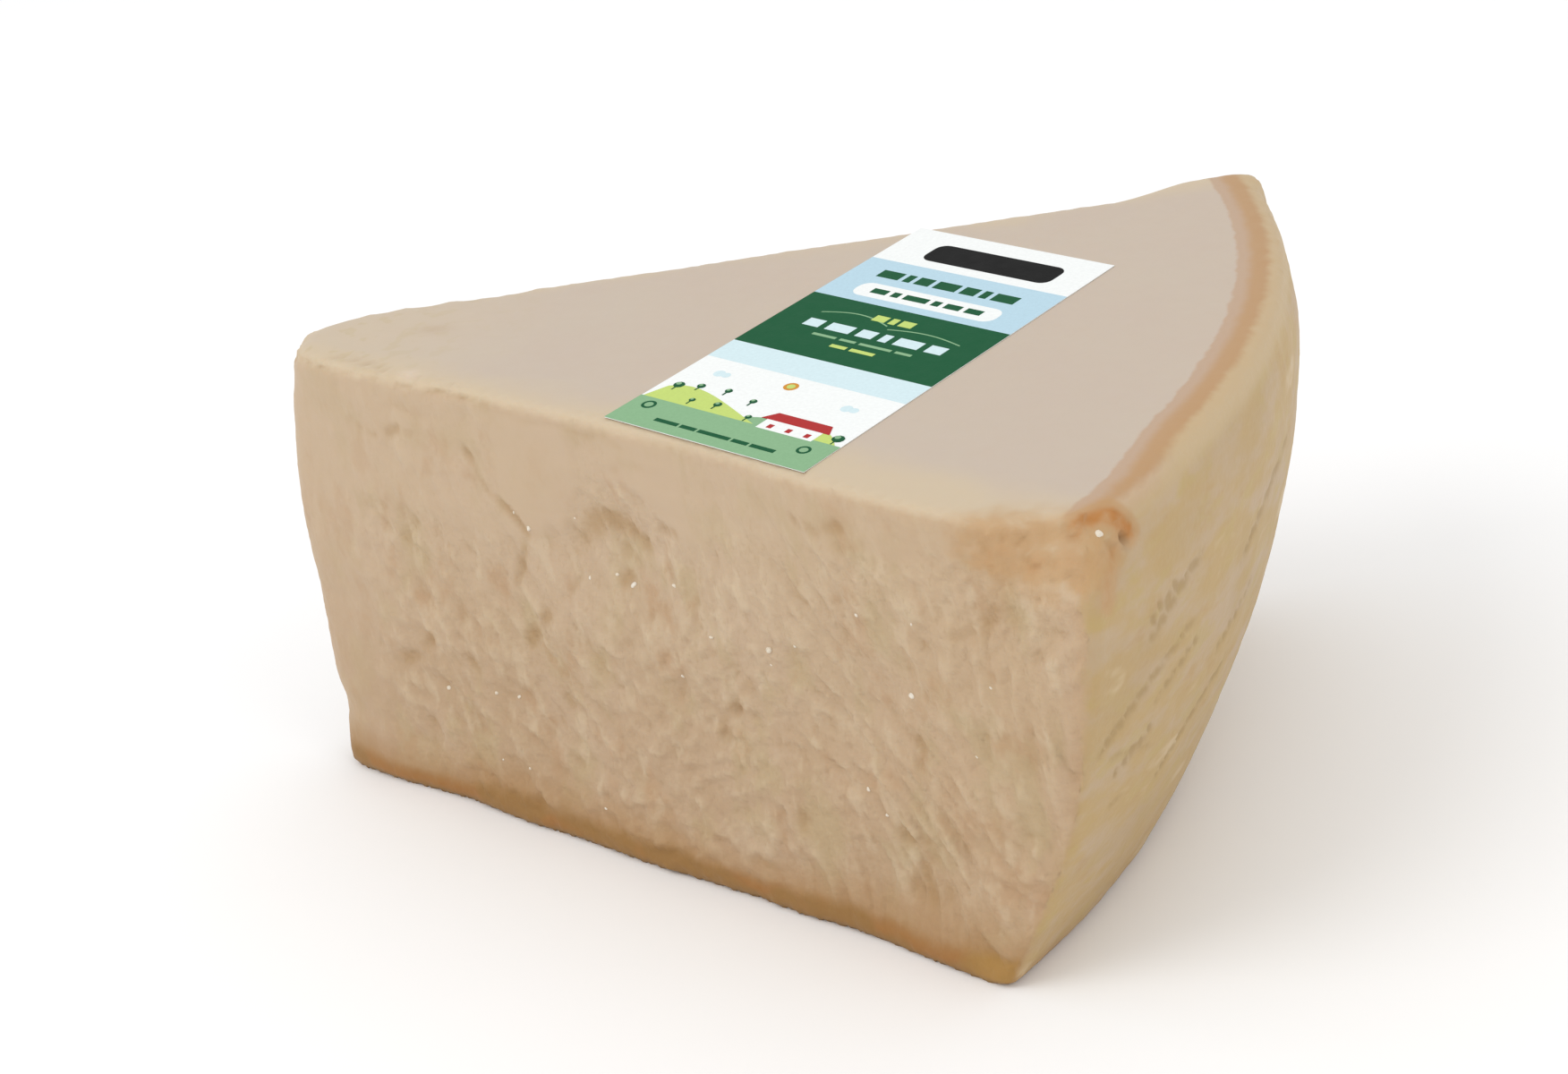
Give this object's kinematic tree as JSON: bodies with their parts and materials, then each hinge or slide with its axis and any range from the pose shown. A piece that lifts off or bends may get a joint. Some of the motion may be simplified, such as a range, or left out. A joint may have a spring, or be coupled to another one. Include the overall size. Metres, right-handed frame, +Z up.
{
  "type": "parmesan chunk",
  "caption": "Wedge of hard parmesan cheese cut from a half-height wheel, with rind on its heel and base and a paper label lying across its smooth top.",
  "frame": {"origin": "middle of the bounding box on the underside, at the level the chunk rests on", "axes": "+X from the blunt tip towards the rind of the heel, +Y towards the back cut face, +Z up"},
  "size_m": [0.2036, 0.1768, 0.0956],
  "materials": {
    "cheese": "matte, grainy hard cheese with a waxy smooth cut top and a tan rind",
    "label_paper": "coated paper printed in green, pale blue and white fields"
  },
  "bodies": {
    "root": {"cheese": "cheese", "label": "label_paper"}
  },
  "joints": []
}
